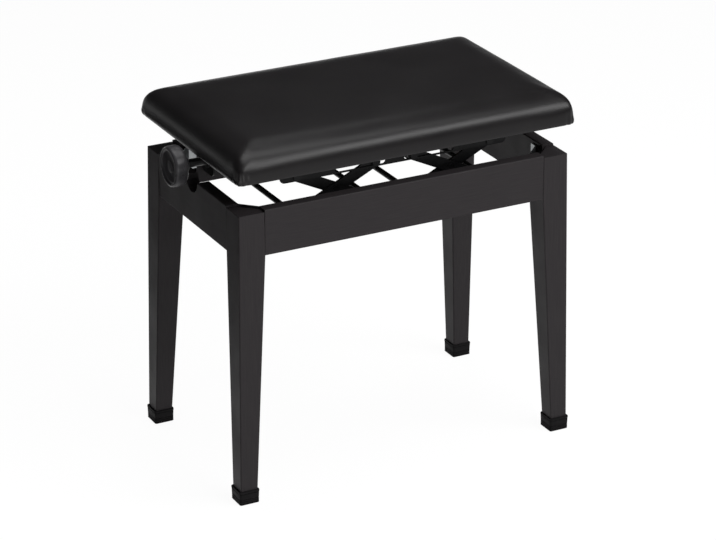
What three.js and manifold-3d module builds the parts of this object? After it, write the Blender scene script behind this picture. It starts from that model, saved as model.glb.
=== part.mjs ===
// A height-adjustable keyboard bench in millimetres, +Z up, origin on the floor
// under the middle of the seat: +X along the seat to the right, +Y to the back.
// A wooden stand holds a double scissor lift, and a spindle with two knobs
// raises the padded seat.

import * as THREE from "three";
import { mergeVertices } from "three/addons/utils/BufferGeometryUtils.js";
import Module from "manifold-3d";

const wasm = await Module();
wasm.setup();

// Stand
const standWidth = 500;
const standDepth = 294;
const legHeight = 418;
const legTop = 38;
const legFoot = 25;
const legSplay = 7;
const legBevel = 1.2;
const legSlantShare = 1 / 6;
const apronHeight = 64;
const apronRise = 3;
const apronThickness = 18;
const apronEdge = 1.2;
const notchWidth = 38;
const notchDepth = 19;

// Foot caps
const capHeight = 20;
const capWall = 2.5;
const capFloor = 4;
const capDraft = 0.8;
const capRibs = 3;
const capRibDepth = 0.6;
const capRibPitch = 2.6;
const capRibStart = 2.2;

// Corner braces and leg bolts
const braceSetOut = 15;
const braceTab = 12;
const braceLip = 5;
const braceThickness = 2;
const braceHeight = 34;
const braceDrop = 6;
const legBoltRadius = 4;
const legBoltInLeg = 22;
const legBoltHeadRadius = 7;
const legBoltHeadHeight = 5;
const legWasherRadius = 9;
const legWasherHeight = 1.6;

// Scissor lift at rest
const armWidth = 16;
const armThickness = 3;
const lowerPivotDrop = 31;
const upperPivotRise = 25.5;
const innerPivotX = 29;
const pivotFromRailEnd = 25;
const pivotRadius = 4;
const pivotHeadRadius = 6;
const pivotHeadHeight = 2;
const slotInwards = 15;
const slotShare = 0.52;

// Lift frames: the rails of the lower one are channels, the upper one is welded
const railSetIn = 40;
const railSpace = 18;
const railWall = 2;
const lowerRailHeight = 28;
const upperFrameHeight = 29.6;
const upperFrameFlange = 22;
const upperFrameCorner = 8;
const upperFrameBelow = 6.5;
const endFlange = 18;
const studRadius = 3;
const studHeight = 9;

// Rail screws
const screwRadius = 2.2;
const screwHeadRadius = 4.2;
const screwHeadHeight = 2.4;
const screwLength = 10;

// Nut bars
const nutBarSize = 14;
const nutBlockLength = 24;
const nutBlockWidth = 26;
const nutBlockHeight = 24;

// Spindle, knobs, collars and bearings
const spindleRadius = 6;
const threadDepth = 0.9;
const threadPitch = 6;
const threadStart = 12;
const threadTurns = 14;
const knobRadius = 28;
const knobStandOut = 34;
const knobWidth = 19;
const knobHubRadius = 11;
const knobHubLength = 8;
const knobRimWidth = 5;
const knobDish = 4;
const knobRound = 3;
const knobWall = 6;
const knobEdgeShare = 1 / 3;
const dishFloorShare = 0.8;
const collarRadius = 10;
const collarLength = 8;
const bearingSetIn = 24;
const bearingWidth = 36;
const bearingThickness = 2.5;
const bearingBelow = 19.5;
const bearingCorner = 9;
const bearingFlange = 24;
const bushSleeveRadius = 8;
const bushFlangeRadius = 11;
const bushFlangeThickness = 2;

// Seat
const seatOverhangX = 5;
const seatOverhangY = 12;
const seatCorner = 12;
const seatThickness = 44;
const seatSide = 18.5;
const seatBulge = 1.2;
const seatDrawIn = 1.2;
const shoulderRise = 12.5;
const shoulderWidth = 11;
const crownMiddle = 19;
const cornerGrowShare = 0.25;
const cornerLimitShare = 0.9;
const coverWrap = 5;
const boardThickness = 12;

// Fits and mesh fineness
const gap = 0.3;
const overrun = 1;
const roundSides = 16;
const smallSides = 12;
const hexSides = 6;
const arcSteps = 6;
const bulgeSteps = 3;
const crownSteps = 12;

// Places that follow from the sizes above
const cornerX = standWidth / 2;
const cornerY = standDepth / 2;
const apronTopZ = legHeight + apronRise;
const apronBottomZ = apronTopZ - apronHeight;
const railHalfLength = cornerX - legTop - railSetIn;
const outerPivotX = railHalfLength - pivotFromRailEnd;
const slotInnerX = innerPivotX - slotInwards;
const slotOuterX = innerPivotX + slotShare * (outerPivotX - innerPivotX);
const lowerPivotZ = legHeight - lowerPivotDrop;
const upperPivotZ = legHeight + upperPivotRise;
const railOuterY = cornerY - apronThickness;
const railFaceY = railOuterY - railSpace;
const railInnerY = railFaceY - railWall;
const liftArmY = railInnerY - gap;
const crossArmY = liftArmY - armThickness - gap;
const armEndY = crossArmY - armThickness - gap;
const armRise = upperPivotZ - lowerPivotZ;
const armSpan = outerPivotX - innerPivotX;
const armLength = Math.hypot(armSpan, armRise);
const armAngle = Math.atan2(armRise, armSpan);
const headInnerY = railFaceY + gap;
const rodEndY = headInnerY + pivotHeadHeight;
const pivotHole = pivotRadius + gap;
const screwHole = screwRadius + gap;
const studHole = studRadius + gap;
const spindleHole = spindleRadius + gap;
const framePivotZ = upperFrameBelow - upperFrameHeight;
const seatBottomZ = upperPivotZ - framePivotZ;
const bearingX = cornerX - bearingSetIn;
const knobFaceX = cornerX + knobStandOut;
const spindleEndX = knobFaceX - knobDish - knobWall;

const sides = [
  { name: "left", x: -1 },
  { name: "right", x: 1 },
];
const ends = [
  { name: "front", y: -1 },
  { name: "rear", y: 1 },
];

// Finishes
function finish(color, roughness, metalness) {
  return new THREE.MeshStandardMaterial({ color, roughness, metalness });
}
const blackLacquer = () => finish(0x1d1b1e, 0.5, 0);
const blackSteel = () => finish(0x191a1b, 0.45, 0.4);
const zincSteel = () => finish(0x9a9c9e, 0.35, 1);
const blackRubber = () => finish(0x141415, 0.85, 0);
const blackPlastic = () => finish(0x1c1b1d, 0.35, 0);
const nylon = () => finish(0x2a2a2c, 0.6, 0);
const plywood = () => finish(0x2b241e, 0.8, 0);
const blackVinyl = () => finish(0x171618, 0.4, 0);

// Solids
function welded(geometry) {
  const bare = geometry.clone();
  bare.deleteAttribute("normal");
  bare.deleteAttribute("uv");
  return mergeVertices(bare);
}

// The same shape reflected by the signs, with its faces still pointing out.
function mirrored(geometry, x, y = 1) {
  const copy = welded(geometry);
  copy.scale(x, y, 1);
  if (x * y < 0) {
    const index = copy.index.array;
    for (let i = 0; i < index.length; i += 3) {
      [index[i], index[i + 1]] = [index[i + 1], index[i]];
    }
  }
  return copy;
}

function solid(geometry) {
  const shape = welded(geometry);
  return new wasm.Manifold(new wasm.Mesh({
    numProp: 3,
    vertProperties: new Float32Array(shape.attributes.position.array),
    triVerts: new Uint32Array(shape.index.array),
  }));
}

function geometryOf(manifold) {
  const mesh = manifold.getMesh();
  const geometry = new THREE.BufferGeometry();
  geometry.setAttribute("position", new THREE.BufferAttribute(mesh.vertProperties, 3));
  geometry.setIndex(new THREE.BufferAttribute(mesh.triVerts, 1));
  return geometry;
}

function cut(body, tools) {
  let result = solid(body);
  for (const tool of tools) {
    result = result.subtract(solid(tool));
  }
  return geometryOf(result);
}

function joined(bodies) {
  let result = solid(bodies[0]);
  for (const body of bodies.slice(1)) {
    result = result.add(solid(body));
  }
  return geometryOf(result);
}

function block(x0, x1, y0, y1, z0, z1) {
  const box = new THREE.BoxGeometry(x1 - x0, y1 - y0, z1 - z0);
  return box.translate((x0 + x1) / 2, (y0 + y1) / 2, (z0 + z1) / 2);
}

function rodAlongX(radius, x0, x1, y, z, count = roundSides) {
  const rod = new THREE.CylinderGeometry(radius, radius, x1 - x0, count);
  return rod.rotateZ(Math.PI / 2).translate((x0 + x1) / 2, y, z);
}

function rodAlongY(radius, y0, y1, x, z, count = smallSides) {
  const rod = new THREE.CylinderGeometry(radius, radius, y1 - y0, count);
  return rod.translate(x, (y0 + y1) / 2, z);
}

function rodAlongZ(radius, z0, z1, x, y, count = smallSides) {
  const rod = new THREE.CylinderGeometry(radius, radius, z1 - z0, count);
  return rod.rotateX(Math.PI / 2).translate(x, y, (z0 + z1) / 2);
}

// A rod on the slanted line between +X and +Y, at distances from the origin.
function rodAlongSlant(radius, from, to, z, count = smallSides) {
  const rod = new THREE.CylinderGeometry(radius, radius, to - from, count);
  rod.rotateZ(-Math.PI / 2).translate((from + to) / 2, 0, 0);
  return rod.rotateZ(Math.PI / 4).translate(0, 0, z);
}

// A piece turned about Y: its profile of [radius, y] goes up its outside.
function turned(points, count = smallSides) {
  const profile = points.map(([radius, y]) => new THREE.Vector2(radius, y));
  return new THREE.LatheGeometry(profile, count);
}

// The other half of a profile that is the same on both sides of y = 0.
function otherHalf(points) {
  return points.map(([radius, y]) => [radius, -y]).reverse();
}

// A plate cut to a shape drawn in X and Z, from y0 to y1.
function plateAcrossY(shape, y0, y1) {
  const plate = new THREE.ExtrudeGeometry(
    shape, { depth: y1 - y0, bevelEnabled: false, curveSegments: arcSteps });
  return plate.rotateX(Math.PI / 2).translate(0, y1, 0);
}

// A bar with a section drawn in X and Y, from z0 to z1.
function barAlongZ(points, z0, z1) {
  const shape = new THREE.Shape(points.map(([x, y]) => new THREE.Vector2(x, y)));
  const bar = new THREE.ExtrudeGeometry(shape, { depth: z1 - z0, bevelEnabled: false });
  return bar.translate(0, 0, z0);
}

// A bar with a section drawn in Y and Z, from x0 to x1.
function barAlongX(points, x0, x1) {
  const bar = barAlongZ(points, 0, x1 - x0);
  return bar.rotateX(Math.PI / 2).rotateZ(Math.PI / 2).translate(x0, 0, 0);
}

// A skin over level rings of points, closed by two flat ends.
function lofted(rings) {
  const count = rings[0].length;
  const index = [];
  for (let level = 0; level + 1 < rings.length; level += 1) {
    for (let i = 0; i < count; i += 1) {
      const a = level * count + i;
      const b = level * count + ((i + 1) % count);
      index.push(a, b, b + count, a, b + count, a + count);
    }
  }
  const top = (rings.length - 1) * count;
  for (let i = 1; i + 1 < count; i += 1) {
    index.push(0, i + 1, i, top, top + i, top + i + 1);
  }
  const geometry = new THREE.BufferGeometry();
  geometry.setAttribute("position", new THREE.Float32BufferAttribute(rings.flat(2), 3));
  geometry.setIndex(index);
  return geometry;
}

// A level rectangle with round corners.
function roundedRing(halfX, halfY, radius, z) {
  const ring = [];
  for (let corner = 0; corner < 4; corner += 1) {
    const signX = corner === 0 || corner === 3 ? 1 : -1;
    const signY = corner < 2 ? 1 : -1;
    for (let step = 0; step <= arcSteps; step += 1) {
      const angle = (corner + step / arcSteps) * (Math.PI / 2);
      const x = signX * (halfX - radius) + radius * Math.cos(angle);
      const y = signY * (halfY - radius) + radius * Math.sin(angle);
      ring.push([x, y, z]);
    }
  }
  return ring;
}

// A level square with cut corners, from low to high in X and in Y.
function bevelledSquare(low, high, z) {
  const a = low + legBevel;
  const b = high - legBevel;
  return [
    [a, low, z], [b, low, z], [high, a, z], [high, b, z],
    [b, high, z], [a, high, z], [low, b, z], [low, a, z],
  ];
}

function add(parent, name, geometry, material, x = 0, y = 0, z = 0) {
  const mesh = new THREE.Mesh(geometry, material);
  mesh.name = name;
  mesh.position.set(x, y, z);
  parent.add(mesh);
  return mesh;
}

const bench = new THREE.Group();
const stand = new THREE.Group();
const lift = new THREE.Group();
const seat = new THREE.Group();
const drive = new THREE.Group();
seat.position.z = seatBottomZ;
drive.position.z = upperPivotZ;
bench.add(stand, lift, seat, drive);

// Stand corners are drawn from the leg's outer corner inwards along +X and +Y.
const slantSum = legTop * (1 - legSlantShare) + apronThickness;
const slantFace = slantSum / Math.SQRT2;
const braceStart = legTop + braceSetOut;
const braceEnd = braceStart + braceTab;
const braceFace = (apronThickness + braceStart) / Math.SQRT2;
const braceTopZ = apronTopZ - braceDrop;
const braceMidZ = braceTopZ - braceHeight / 2;
const footInner = legFoot + outerFace(capFloor);

// The outer faces lean out towards the floor: where they are at this height.
function outerFace(z) {
  return -legSplay * (1 - z / legHeight);
}

function leg() {
  const body = lofted([
    bevelledSquare(outerFace(capFloor), footInner, capFloor),
    bevelledSquare(outerFace(apronBottomZ), legTop, apronBottomZ),
    bevelledSquare(0, legTop, legHeight),
  ]);
  const past = legTop + overrun;
  const slant = barAlongZ(
    [[past, slantSum - past], [past, past], [slantSum - past, past]],
    apronBottomZ, legHeight + overrun);
  const hole = rodAlongSlant(
    legBoltRadius + gap, slantFace - legBoltInLeg - gap, slantFace + overrun, braceMidZ);
  return cut(body, [slant, hole]);
}

function footCap() {
  const rings = [];
  const addRing = (z, inset) => {
    const draft = capDraft * (1 - z / capHeight) + inset;
    const outer = outerFace(z) - capWall;
    rings.push(bevelledSquare(outer + draft, outer + legFoot + 2 * capWall - draft, z));
  };
  addRing(0, 0);
  for (let rib = 0; rib < capRibs; rib += 1) {
    const z = capRibStart + rib * capRibPitch;
    addRing(z, 0);
    addRing(z + capRibDepth, capRibDepth);
    addRing(z + 2 * capRibDepth, 0);
  }
  addRing(capHeight, 0);
  const mouthZ = capHeight + overrun;
  const growth = (legTop - footInner) / (apronBottomZ - capFloor);
  const mouth = footInner + growth * (mouthZ - capFloor);
  const socket = lofted([
    bevelledSquare(outerFace(capFloor) - gap, footInner + gap, capFloor),
    bevelledSquare(outerFace(mouthZ) - gap, mouth + gap, mouthZ),
  ]);
  return cut(lofted(rings), [socket]);
}

// A pressed brace: a slanted web, and two tabs with lips in kerfs of the aprons.
function cornerBrace() {
  const t = apronThickness;
  const w = braceThickness;
  const lipFace = t - braceLip;
  const lipStart = braceEnd - w;
  const bend = braceStart + w * (Math.SQRT2 - 1);
  const plate = barAlongZ([
    [lipFace, lipStart], [t, lipStart], [t, braceStart], [braceStart, t],
    [lipStart, t], [lipStart, lipFace], [braceEnd, lipFace], [braceEnd, t + w],
    [bend, t + w], [t + w, bend], [t + w, braceEnd], [lipFace, braceEnd],
  ], braceTopZ - braceHeight, braceTopZ);
  const hole = rodAlongSlant(
    legBoltRadius + gap, braceFace - overrun, braceFace + w + overrun, braceMidZ);
  return cut(plate, [hole]);
}

function legBolt() {
  const washerFace = braceFace + braceThickness + gap;
  const headFace = washerFace + legWasherHeight;
  return joined([
    rodAlongSlant(legBoltRadius, slantFace - legBoltInLeg, headFace, braceMidZ),
    rodAlongSlant(legWasherRadius, washerFace, headFace, braceMidZ),
    rodAlongSlant(legBoltHeadRadius, washerFace, headFace + legBoltHeadHeight, braceMidZ, hexSides),
  ]);
}

for (const end of ends) {
  for (const side of sides) {
    const addCorner = (name, geometry, material) => add(
      stand, `${name}_${end.name}_${side.name}`, mirrored(geometry, -side.x, -end.y), material,
      side.x * cornerX, end.y * cornerY);
    addCorner("leg", leg(), blackLacquer());
    addCorner("foot_cap", footCap(), blackRubber());
    addCorner("corner_brace", cornerBrace(), zincSteel());
    addCorner("leg_bolt", legBolt(), zincSteel());
  }
}

// Aprons: drawn as a bar along X with its outer face at y = 0 and its inside at +Y.
const screwX = (slotOuterX + outerPivotX - pivotHole) / 2;

function apronBar(halfLength) {
  return barAlongX([
    [0, apronBottomZ], [apronThickness, apronBottomZ],
    [apronThickness, apronTopZ - apronEdge], [apronThickness - apronEdge, apronTopZ],
    [apronEdge, apronTopZ], [0, apronTopZ - apronEdge],
  ], -halfLength, halfLength);
}

function kerfs(halfFrame) {
  const x0 = halfFrame - braceEnd - gap;
  const x1 = halfFrame - braceEnd + braceThickness + gap;
  const y0 = apronThickness - braceLip - gap;
  const kerf = block(x0, x1, y0, apronThickness + overrun, apronBottomZ - overrun, braceTopZ + gap);
  return sides.map((side) => mirrored(kerf, side.x));
}

function longApron() {
  const holes = sides.map((side) => rodAlongY(
    screwHole, apronThickness - screwLength - gap, apronThickness + overrun, side.x * screwX, lowerPivotZ));
  return cut(apronBar(cornerX - legTop), [...kerfs(cornerX), ...holes]);
}

function sideApron() {
  const radius = notchWidth / 2;
  const roundZ = apronTopZ - notchDepth + radius;
  const y0 = -overrun;
  const y1 = apronThickness + overrun;
  const round = rodAlongY(radius, y0, y1, 0, roundZ, roundSides);
  const mouth = block(-radius, radius, y0, y1, roundZ, Math.max(roundZ, apronTopZ) + overrun);
  return cut(apronBar(cornerY - legTop), [...kerfs(cornerY), round, mouth]);
}

for (const end of ends) {
  const apron = mirrored(longApron(), 1, -end.y);
  add(stand, `apron_${end.name}`, apron, blackLacquer(), 0, end.y * cornerY);
}
for (const side of sides) {
  const apron = mirrored(sideApron().rotateZ(-Math.PI / 2), -side.x);
  add(stand, `apron_${side.name}`, apron, blackLacquer(), side.x * cornerX);
}

// A long hole with round ends in a rail, and the round hole of the outer pivot.
function railOpenings(z) {
  const y0 = railInnerY - overrun;
  const y1 = railFaceY + overrun;
  const slot = new THREE.Shape();
  slot.absarc(slotOuterX - pivotHole, z, pivotHole, -Math.PI / 2, Math.PI / 2, false);
  slot.absarc(slotInnerX + pivotHole, z, pivotHole, Math.PI / 2, Math.PI * 1.5, false);
  const openings = [plateAcrossY(slot, y0, y1), rodAlongY(pivotHole, y0, y1, outerPivotX, z)];
  return sides.flatMap((side) => openings.map((opening) => mirrored(opening, side.x)));
}

// A lower rail is a channel open at the top: its outer wall is screwed to the apron.
function lowerRail() {
  const floorZ = lowerPivotZ - lowerRailHeight / 2;
  const topZ = lowerPivotZ + lowerRailHeight / 2;
  const outerWall = railOuterY - railWall;
  const channel = barAlongX([
    [railInnerY, floorZ], [railOuterY, floorZ], [railOuterY, topZ], [outerWall, topZ],
    [outerWall, floorZ + railWall], [railFaceY, floorZ + railWall], [railFaceY, topZ], [railInnerY, topZ],
  ], -railHalfLength, railHalfLength);
  const holes = sides.map((side) => rodAlongY(
    screwHole, outerWall - overrun, railOuterY + overrun, side.x * screwX, lowerPivotZ));
  return cut(channel, [...railOpenings(lowerPivotZ), ...holes]);
}

// A pan-head screw along +Y with its head under y = 0.
function railScrew() {
  return turned([
    [0, -gap - screwHeadHeight],
    [screwHeadRadius * 0.7, -gap - screwHeadHeight],
    [screwHeadRadius, -gap - screwHeadHeight / 2],
    [screwHeadRadius, -gap],
    [screwRadius, -gap],
    [screwRadius, screwLength - screwRadius],
    [0, screwLength],
  ]);
}

for (const end of ends) {
  add(stand, `lower_rail_${end.name}`, mirrored(lowerRail(), 1, end.y), blackSteel());
  for (const side of sides) {
    add(stand, `rail_screw_${end.name}_${side.name}`, mirrored(railScrew(), 1, end.y), zincSteel(),
      side.x * screwX, end.y * (railOuterY - railWall), lowerPivotZ);
  }
}

// A rod across both rails, with a head outside each.
const rodHead = [[pivotRadius, headInnerY], [pivotHeadRadius, headInnerY], [pivotHeadRadius, rodEndY]];
const spacer = [
  [pivotRadius, liftArmY - armThickness], [pivotHeadRadius, liftArmY - armThickness],
  [pivotHeadRadius, liftArmY], [pivotRadius, liftArmY],
];

function railRod(half) {
  return turned([[0, -rodEndY], ...otherHalf(half), ...half, [0, rodEndY]]);
}

for (const side of sides) {
  add(stand, `outer_rod_${side.name}`, railRod(rodHead), blackSteel(),
    side.x * outerPivotX, 0, lowerPivotZ);
}

// Lift arms and cross arms lie along +X from their outer pivot.
function arm() {
  const radius = armWidth / 2;
  const shape = new THREE.Shape();
  shape.absarc(armLength, 0, radius, -Math.PI / 2, Math.PI / 2, false);
  shape.absarc(0, 0, radius, Math.PI / 2, Math.PI * 1.5, false);
  for (const x of [0, armLength / 2, armLength]) {
    const hole = new THREE.Path();
    hole.absarc(x, 0, pivotHole, 0, Math.PI * 2, true);
    shape.holes.push(hole);
  }
  return plateAcrossY(shape, -armThickness / 2, armThickness / 2);
}

function addArm(name, side, end, faceY, pivotZ, angle) {
  const label = `${name}_${side.name}_${end.name}`;
  const mesh = add(lift, label, mirrored(arm(), -side.x), blackSteel(),
    side.x * outerPivotX, end.y * (faceY - armThickness / 2), pivotZ);
  mesh.rotation.y = side.x * angle;
}

// A rivet joins the two arms of a pair: flush outside, a head inside.
function centreRivet() {
  return turned([
    [0, armEndY - pivotHeadHeight], [pivotHeadRadius, armEndY - pivotHeadHeight],
    [pivotHeadRadius, armEndY], [pivotRadius, armEndY], [pivotRadius, liftArmY], [0, liftArmY],
  ]);
}

// A square bar with a nut block in its middle and a journal at each end.
function nutBar() {
  const half = nutBarSize / 2;
  const bar = block(-half, half, -crossArmY, crossArmY, -half, half);
  const nut = block(-nutBlockLength / 2, nutBlockLength / 2, -nutBlockWidth / 2, nutBlockWidth / 2,
    -nutBlockHeight / 2, nutBlockHeight / 2);
  const bore = rodAlongX(spindleHole, -nutBlockLength, nutBlockLength, 0, 0);
  return cut(joined([railRod(rodHead), bar, nut]), [bore]);
}

const centreX = (outerPivotX + innerPivotX) / 2;
const centreZ = (lowerPivotZ + upperPivotZ) / 2;

for (const side of sides) {
  for (const end of ends) {
    addArm("lift_arm", side, end, liftArmY, lowerPivotZ, armAngle);
    addArm("cross_arm", side, end, crossArmY, upperPivotZ, -armAngle);
    add(lift, `centre_rivet_${side.name}_${end.name}`, mirrored(centreRivet(), 1, end.y), blackSteel(),
      side.x * centreX, 0, centreZ);
  }
  add(lift, `slide_rod_${side.name}`, railRod([...spacer, ...rodHead]), blackSteel(),
    side.x * innerPivotX, 0, lowerPivotZ);
  add(lift, `nut_bar_${side.name}`, nutBar(), blackSteel(), side.x * innerPivotX, 0, upperPivotZ);
}

// Upper frame, drawn below z = 0: slotted rails, ends notched for the spindle, studs on top.
const studX = outerPivotX;
const studY = railFaceY - upperFrameFlange / 2;

// A plate's outline under z = 0 with rounded lower corners.
function hangingShape(halfWidth, floorZ, radius) {
  const shape = new THREE.Shape();
  shape.moveTo(-halfWidth, 0);
  shape.lineTo(-halfWidth, floorZ + radius);
  shape.quadraticCurveTo(-halfWidth, floorZ, -halfWidth + radius, floorZ);
  shape.lineTo(halfWidth - radius, floorZ);
  shape.quadraticCurveTo(halfWidth, floorZ, halfWidth, floorZ + radius);
  shape.lineTo(halfWidth, 0);
  return shape;
}

function stud(x, y) {
  return rodAlongZ(studRadius, -railWall / 2, studHeight, x, y);
}

function upperFrame() {
  const x = railHalfLength;
  const r = upperFrameCorner;
  const floorZ = -upperFrameHeight;
  const web = hangingShape(x, floorZ, r);
  const rail = [
    plateAcrossY(web, railInnerY, railFaceY),
    block(-x, x, railFaceY - upperFrameFlange, railFaceY, -railWall, 0),
  ];
  const endPiece = [
    block(x - railWall, x, -railFaceY, railFaceY, floorZ + r, 0),
    block(x - endFlange, x, -railInnerY, railInnerY, -railWall, 0),
  ];
  const pieces = [
    ...ends.flatMap((end) => rail.map((piece) => mirrored(piece, 1, end.y))),
    ...sides.flatMap((side) => endPiece.map((piece) => mirrored(piece, side.x))),
    ...ends.flatMap((end) => sides.map((side) => stud(side.x * studX, end.y * studY))),
  ];
  const openings = railOpenings(framePivotZ);
  const clear = spindleRadius + 4 * gap;
  const passage = [
    rodAlongX(clear, x - railWall - overrun, x + overrun, 0, framePivotZ),
    block(x - railWall - overrun, x + overrun, -clear, clear, floorZ - overrun, framePivotZ),
  ];
  return cut(joined(pieces), [
    ...ends.flatMap((end) => openings.map((opening) => mirrored(opening, 1, end.y))),
    ...sides.flatMap((side) => passage.map((piece) => mirrored(piece, side.x))),
  ]);
}
add(seat, "upper_frame", upperFrame(), blackSteel());

// A pivot pin: head outside the rail, spacer between rail and cross arm, head inside.
function upperPin() {
  return turned([
    [0, armEndY - pivotHeadHeight], [pivotHeadRadius, armEndY - pivotHeadHeight],
    [pivotHeadRadius, armEndY], [pivotRadius, armEndY], ...spacer, ...rodHead, [0, rodEndY],
  ]);
}

for (const end of ends) {
  for (const side of sides) {
    add(seat, `upper_pin_${end.name}_${side.name}`, mirrored(upperPin(), 1, end.y), blackSteel(),
      side.x * outerPivotX, 0, framePivotZ);
  }
}

// A bearing bracket hangs from the board and holds a bush for the spindle.
const bearingStudX = bearingX - (bearingThickness + bearingFlange) / 2;
const bearingStudY = bearingWidth / 4;

function bearingBracket() {
  const half = bearingWidth / 2;
  const floorZ = framePivotZ - bearingBelow;
  const shape = hangingShape(half, floorZ, bearingCorner);
  const plate = plateAcrossY(shape, bearingX - bearingThickness, bearingX).rotateZ(-Math.PI / 2);
  const flange = block(bearingX - bearingFlange, bearingX, -half, half, -bearingThickness, 0);
  const studs = ends.map((end) => stud(bearingStudX, end.y * bearingStudY));
  const hole = rodAlongX(
    bushSleeveRadius + gap, bearingX - bearingFlange / 2, bearingX + overrun, 0, framePivotZ);
  return cut(joined([plate, flange, ...studs]), [hole]);
}

function bush() {
  const inner = bearingX - bearingThickness - gap;
  const outer = bearingX + gap + bushFlangeThickness;
  const sleeve = rodAlongX(bushSleeveRadius, inner, outer, 0, 0);
  const flange = rodAlongX(bushFlangeRadius, outer - bushFlangeThickness, outer, 0, 0);
  const bore = rodAlongX(spindleHole, inner - overrun, outer + overrun, 0, 0);
  return cut(joined([sleeve, flange]), [bore]);
}

for (const side of sides) {
  add(seat, `bearing_bracket_${side.name}`, mirrored(bearingBracket(), side.x), blackSteel());
  add(seat, `bearing_bush_${side.name}`, mirrored(bush(), side.x), nylon(), 0, 0, framePivotZ);
}

// Seat board, with a blind hole for each stud.
const seatHalfX = cornerX + seatOverhangX;
const seatHalfY = cornerY + seatOverhangY;

function boardRing(clearance, z) {
  const inset = coverWrap - clearance;
  return roundedRing(seatHalfX - inset, seatHalfY - inset, seatCorner - coverWrap, z);
}

const studPlaces = sides.flatMap((side) => ends.flatMap((end) => [
  [side.x * studX, end.y * studY],
  [side.x * bearingStudX, end.y * bearingStudY],
]));
const studHoles = studPlaces.map(([x, y]) => rodAlongZ(studHole, -overrun, studHeight + gap, x, y));
const board = cut(lofted([boardRing(0, 0), boardRing(0, boardThickness)]), studHoles);
add(seat, "seat_board", board, plywood());

// Padded seat: bulging sides drawn in at the hem, a soft shoulder, then a low crown.
function seatRing(inset, z) {
  const halfY = seatHalfY - inset;
  const radius = Math.min(seatCorner + inset * cornerGrowShare, halfY * cornerLimitShare);
  return roundedRing(seatHalfX - inset, halfY, radius, z);
}

// The top's height over the board, this far in from the top of the side.
function padHeight(inset, halfWidth) {
  const shoulder = shoulderRise * (1 - Math.exp(-inset / shoulderWidth));
  const crown = seatThickness - seatSide - shoulderRise;
  return seatSide + shoulder + crown * Math.sin((inset / halfWidth) * (Math.PI / 2));
}

function cushion() {
  const rings = [];
  for (let step = 0; step <= bulgeSteps; step += 1) {
    const share = step / bulgeSteps;
    const inset = seatBulge * (1 - Math.sin(Math.PI * share)) + seatDrawIn * (1 - share);
    rings.push(seatRing(inset, share * seatSide));
  }
  const halfWidth = seatHalfY - seatBulge;
  for (let step = 1; step <= crownSteps; step += 1) {
    const inset = (halfWidth - crownMiddle) * (step / crownSteps) ** 2;
    rings.push(seatRing(seatBulge + inset, padHeight(inset, halfWidth)));
  }
  const pocket = lofted([boardRing(gap, -overrun), boardRing(gap, boardThickness + gap)]);
  return cut(lofted(rings), [pocket]);
}
add(seat, "seat_cushion", cushion(), blackVinyl());

// Spindle: a threaded stretch on each side of the middle, and plain ends.
function spindle() {
  const half = [];
  for (let turn = 0; turn < threadTurns; turn += 1) {
    const y = threadStart + turn * threadPitch;
    half.push([spindleRadius, y], [spindleRadius - threadDepth, y + threadPitch / 2]);
  }
  half.push([spindleRadius, threadStart + threadTurns * threadPitch], [spindleRadius, spindleEndX]);
  const profile = [[0, -spindleEndX], ...otherHalf(half), ...half, [0, spindleEndX]];
  return turned(profile).rotateZ(-Math.PI / 2);
}

// A knob with a dished face inside a raised rim, and a hub with a blind socket.
function knob() {
  const face = knobFaceX;
  const back = face - knobWidth;
  const hubBack = back - knobHubLength;
  const dishRadius = knobRadius - knobRimWidth;
  return turned([
    [0, spindleEndX + gap],
    [spindleHole, spindleEndX + gap],
    [spindleHole, hubBack],
    [knobHubRadius, hubBack],
    [knobHubRadius, back],
    [knobRadius - knobRound, back],
    [knobRadius, back + knobRound],
    [knobRadius, face - knobRound],
    [knobRadius - knobRound * knobEdgeShare, face - knobRound * knobEdgeShare],
    [knobRadius - knobRound, face],
    [dishRadius, face - knobDish * knobEdgeShare],
    [dishRadius * dishFloorShare, face - knobDish * dishFloorShare],
    [0, face - knobDish],
  ], roundSides).rotateZ(-Math.PI / 2);
}

function collar() {
  const outer = bearingX - bearingThickness - 2 * gap;
  const inner = outer - collarLength;
  const ring = rodAlongX(collarRadius, inner, outer, 0, 0);
  return cut(ring, [rodAlongX(spindleHole, inner - overrun, outer + overrun, 0, 0)]);
}

add(drive, "spindle", spindle(), blackSteel());
for (const side of sides) {
  add(drive, `knob_${side.name}`, mirrored(knob(), side.x), blackPlastic());
  add(drive, `spindle_collar_${side.name}`, mirrored(collar(), side.x), blackSteel());
}

export default bench;
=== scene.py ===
import math

import bpy
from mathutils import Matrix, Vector, noise


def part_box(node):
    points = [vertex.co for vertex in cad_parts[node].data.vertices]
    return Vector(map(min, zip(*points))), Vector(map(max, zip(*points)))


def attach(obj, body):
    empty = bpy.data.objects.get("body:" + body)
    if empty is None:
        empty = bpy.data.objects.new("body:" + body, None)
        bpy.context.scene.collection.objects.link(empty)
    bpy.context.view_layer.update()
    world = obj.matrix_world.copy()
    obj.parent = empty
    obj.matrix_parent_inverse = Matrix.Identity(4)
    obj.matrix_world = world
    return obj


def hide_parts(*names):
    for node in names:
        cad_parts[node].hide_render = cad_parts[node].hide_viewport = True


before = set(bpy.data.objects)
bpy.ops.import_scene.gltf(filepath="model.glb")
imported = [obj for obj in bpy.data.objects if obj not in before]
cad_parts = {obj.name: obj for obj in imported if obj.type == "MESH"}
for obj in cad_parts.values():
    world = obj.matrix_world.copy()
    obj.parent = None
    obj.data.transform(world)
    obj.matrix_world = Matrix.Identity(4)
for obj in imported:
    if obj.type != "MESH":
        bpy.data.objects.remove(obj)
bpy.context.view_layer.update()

# The camera stands far off at the bench's front left and looks a little down on it
# through a long lens, so upright edges stay upright.
view_azimuth = math.radians(-27.555)
view_elevation = math.radians(23.319)
view_distance = 4.1446
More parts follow.
